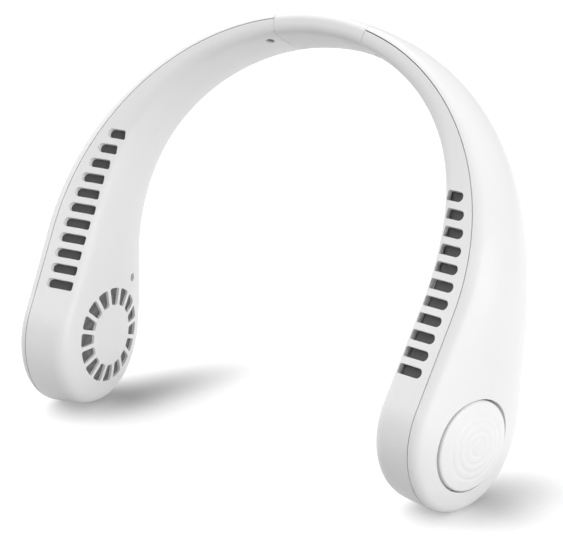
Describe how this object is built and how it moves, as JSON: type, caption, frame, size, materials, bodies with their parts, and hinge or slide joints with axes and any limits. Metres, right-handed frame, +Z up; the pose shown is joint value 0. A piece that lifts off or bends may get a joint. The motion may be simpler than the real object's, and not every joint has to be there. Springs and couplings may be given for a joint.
{
  "type": "neck fan",
  "caption": "Wearable neck fan: hollow arms on a bendable bridge form a horseshoe, with a blower in each round lobe, intake grilles, air vents along the arms and a round push button.",
  "frame": {"origin": "middle of the bridge's inner face, where it rests on the back of the neck", "axes": "+X to the wearer's right, +Y back, away from the vents, +Z up, as pictured: the plane of the horseshoe leans back 31 degrees from upright"},
  "size_m": [0.1962, 0.0911, 0.1498],
  "materials": {
    "shell": "satin white",
    "disc": "satin white",
    "sleeve": "soft white silicone",
    "duct": "dark grey",
    "plate": "grey",
    "impeller": "dark grey",
    "motor": "drawn",
    "bearing": "sintered",
    "steel": "zinc plated",
    "screw": "black oxide",
    "screen": "dark grey gauze",
    "cell": "wrapped in film",
    "foam": "black foam",
    "wire": "black insulation",
    "board": "green lacquer",
    "switch": "black",
    "light": "milky"
  },
  "bodies": {
    "bridge": {"neck_sleeve": "sleeve", "spring_strip": "steel", "link_harness": "wire"},
    "right_arm": {"right_outer_shell": "shell", "right_inner_shell": "shell", "right_air_duct": "duct", "right_motor_plate": "plate", "right_motor_can": "motor", "right_motor_bearing": "bearing", "right_motor_screws": "screw", "right_battery": "cell", "right_battery_pad": "foam", "right_shell_screws": "screw", "right_vent_screen": "screen", "right_intake_screen": "screen", "right_leads": "wire", "switch_body": "switch", "control_board": "board", "charge_socket": "steel", "charge_light": "light"},
    "left_arm": {"left_outer_shell": "shell", "left_inner_shell": "shell", "left_air_duct": "duct", "left_motor_plate": "plate", "left_motor_can": "motor", "left_motor_bearing": "bearing", "left_motor_screws": "screw", "left_battery": "cell", "left_battery_pad": "foam", "left_shell_screws": "screw", "left_vent_screen": "screen", "left_intake_screen": "screen", "left_leads": "wire", "left_cover_disc": "disc"},
    "right_fan": {"right_impeller": "impeller", "right_motor_shaft": "steel"},
    "left_fan": {"left_impeller": "impeller", "left_motor_shaft": "steel"},
    "button": {"power_button": "disc", "switch_plunger": "switch"}
  },
  "joints": [
    {"name": "right_arm_flex", "type": "hinge", "parent": "bridge", "child": "right_arm", "pos_m": [0.00991, 0.00327, 0.00373], "axis": [0, -0.8557, 0.5174], "range_deg": [-5, 15], "stiffness_Nm_per_rad": 6, "deforming": ["neck_sleeve", "spring_strip", "link_harness"]},
    {"name": "left_arm_flex", "type": "hinge", "parent": "bridge", "child": "left_arm", "pos_m": [-0.00991, 0.00327, 0.00373], "axis": [0, 0.8557, -0.5174], "range_deg": [-5, 15], "stiffness_Nm_per_rad": 6, "deforming": ["neck_sleeve", "spring_strip", "link_harness"]},
    {"name": "right_impeller_spin", "type": "hinge", "parent": "right_arm", "child": "right_fan", "pos_m": [0.08742, -0.05082, -0.11104], "axis": [0.9909, -0.1345, -0.0037], "continuous": true},
    {"name": "left_impeller_spin", "type": "hinge", "parent": "left_arm", "child": "left_fan", "pos_m": [-0.08742, -0.05082, -0.11104], "axis": [0.9909, 0.1345, 0.0037], "continuous": true},
    {"name": "power_button_press", "type": "slide", "parent": "right_arm", "child": "button", "axis": [-0.9909, 0.1345, 0.0037], "range_m": [0, 0.0006], "stiffness_N_per_m": 2000, "springref_m": -0.0003}
  ]
}
